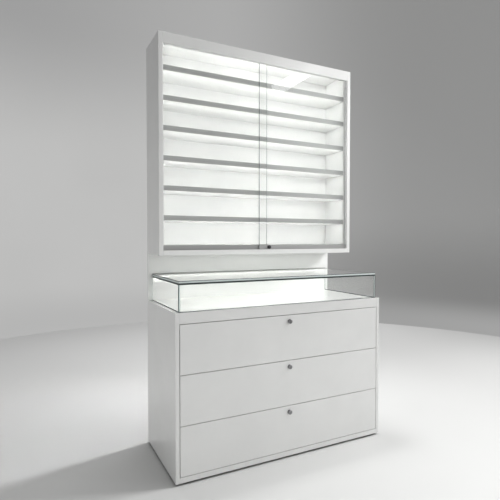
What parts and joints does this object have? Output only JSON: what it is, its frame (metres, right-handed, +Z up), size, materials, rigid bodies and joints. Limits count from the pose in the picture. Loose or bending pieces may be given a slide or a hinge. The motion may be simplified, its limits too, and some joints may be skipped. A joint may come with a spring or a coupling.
{
  "type": "optical display cabinet",
  "caption": "White lacquered optical display cabinet with lockable drawers, a glass vitrine with a hinged lid, and a lit upper shelf cabinet behind sliding glass doors.",
  "frame": {"origin": "on the floor, under the middle of the overall box", "axes": "+Z up, +X to the right seen from the front, -Y towards the person in front of the cabinet"},
  "size_m": [1.2, 0.512, 2.145],
  "materials": {
    "white_lacquer": "satin white lacquer on fibreboard",
    "inner_board": "matt white faced board",
    "clear_glass": "clear float glass with ground edges",
    "satin_aluminium": "satin anodised extrusion",
    "slide_steel": "zinc plated pressed steel",
    "fastener_steel": "plated steel",
    "lock_metal": "dark nickel plated zinc",
    "black_plastic": "moulded black plastic",
    "driver_case": "moulded white plastic",
    "light_diffuser": "opal light diffuser",
    "clear_seal": "smoke-clear silicone strip"
  },
  "bodies": {
    "cabinet": {"base_side_left": "white_lacquer", "base_side_right": "white_lacquer", "base_bottom_panel": "white_lacquer", "base_deck": "white_lacquer", "base_fascia": "white_lacquer", "cross_rails": "white_lacquer", "levelling_feet": "black_plastic", "back_panel": "white_lacquer", "cable_grommet": "black_plastic", "led_driver": "driver_case", "carcass_screws": "fastener_steel", "slide_outer_members": "slide_steel", "upper_side_left": "white_lacquer", "upper_side_right": "white_lacquer", "upper_top_panel": "white_lacquer", "upper_bottom_panel": "white_lacquer", "upper_front_rail": "white_lacquer", "shelf_boards": "white_lacquer", "shelf_front_profiles": "satin_aluminium", "shelf_pins": "fastener_steel", "light_bars": "light_diffuser", "door_track_bottom": "satin_aluminium", "door_track_top": "satin_aluminium", "door_channels": "satin_aluminium", "vitrine_front_pane": "clear_glass", "vitrine_side_panes": "clear_glass", "vitrine_seals": "clear_seal", "vitrine_hinge_rail": "satin_aluminium"},
    "upper_drawer": {"upper_drawer_front": "white_lacquer", "upper_drawer_sides": "inner_board", "upper_drawer_back": "inner_board", "upper_drawer_bottom": "inner_board", "upper_drawer_slide_inner": "slide_steel", "upper_drawer_lock_body": "lock_metal"},
    "upper_slides": {"upper_drawer_slide_middle": "slide_steel"},
    "upper_lock": {"upper_drawer_lock_core": "lock_metal"},
    "middle_drawer": {"middle_drawer_front": "white_lacquer", "middle_drawer_sides": "inner_board", "middle_drawer_back": "inner_board", "middle_drawer_bottom": "inner_board", "middle_drawer_slide_inner": "slide_steel", "middle_drawer_lock_body": "lock_metal"},
    "middle_slides": {"middle_drawer_slide_middle": "slide_steel"},
    "middle_lock": {"middle_drawer_lock_core": "lock_metal"},
    "lower_drawer": {"lower_drawer_front": "white_lacquer", "lower_drawer_sides": "inner_board", "lower_drawer_back": "inner_board", "lower_drawer_bottom": "inner_board", "lower_drawer_slide_inner": "slide_steel", "lower_drawer_lock_body": "lock_metal"},
    "lower_slides": {"lower_drawer_slide_middle": "slide_steel"},
    "lower_lock": {"lower_drawer_lock_core": "lock_metal"},
    "left_door": {"door_left_glass": "clear_glass", "door_left_shoe": "satin_aluminium"},
    "right_door": {"door_right_glass": "clear_glass", "door_right_shoe": "satin_aluminium", "door_lock_body": "lock_metal"},
    "door_plunger": {"door_lock_plunger": "lock_metal"},
    "vitrine_lid": {"vitrine_lid_pane": "clear_glass", "vitrine_lid_clamp": "satin_aluminium"}
  },
  "joints": [
    {"name": "upper_drawer_pull", "type": "slide", "parent": "cabinet", "child": "upper_drawer", "axis": [0, -1, 0], "range_m": [0, 0.4]},
    {"name": "upper_slides_follow", "type": "slide", "parent": "cabinet", "child": "upper_slides", "axis": [0, -1, 0], "range_m": [0, 0.2]},
    {"name": "upper_lock_turn", "type": "hinge", "parent": "upper_drawer", "child": "upper_lock", "pos_m": [0, -0.205, 0.7], "axis": [0, -1, 0], "range_deg": [0, 90]},
    {"name": "middle_drawer_pull", "type": "slide", "parent": "cabinet", "child": "middle_drawer", "axis": [0, -1, 0], "range_m": [0, 0.4]},
    {"name": "middle_slides_follow", "type": "slide", "parent": "cabinet", "child": "middle_slides", "axis": [0, -1, 0], "range_m": [0, 0.2]},
    {"name": "middle_lock_turn", "type": "hinge", "parent": "middle_drawer", "child": "middle_lock", "pos_m": [0, -0.205, 0.468], "axis": [0, -1, 0], "range_deg": [0, 90]},
    {"name": "lower_drawer_pull", "type": "slide", "parent": "cabinet", "child": "lower_drawer", "axis": [0, -1, 0], "range_m": [0, 0.4]},
    {"name": "lower_slides_follow", "type": "slide", "parent": "cabinet", "child": "lower_slides", "axis": [0, -1, 0], "range_m": [0, 0.2]},
    {"name": "lower_lock_turn", "type": "hinge", "parent": "lower_drawer", "child": "lower_lock", "pos_m": [0, -0.205, 0.236], "axis": [0, -1, 0], "range_deg": [0, 90]},
    {"name": "left_door_slide", "type": "slide", "parent": "cabinet", "child": "left_door", "axis": [1, 0, 0], "range_m": [0, 0.545]},
    {"name": "right_door_slide", "type": "slide", "parent": "cabinet", "child": "right_door", "axis": [-1, 0, 0], "range_m": [0, 0.545]},
    {"name": "door_plunger_push", "type": "slide", "parent": "right_door", "child": "door_plunger", "axis": [0, 1, 0], "range_m": [0, 0.008]},
    {"name": "vitrine_lid_tilt", "type": "hinge", "parent": "cabinet", "child": "vitrine_lid", "pos_m": [0, 0.232, 0.92], "axis": [-1, 0, 0], "range_deg": [0, 24]}
  ],
  "couplings": [
    {"joint": "upper_slides_follow", "follows": "upper_drawer_pull", "ratio": 0.5},
    {"joint": "middle_slides_follow", "follows": "middle_drawer_pull", "ratio": 0.5},
    {"joint": "lower_slides_follow", "follows": "lower_drawer_pull", "ratio": 0.5}
  ]
}
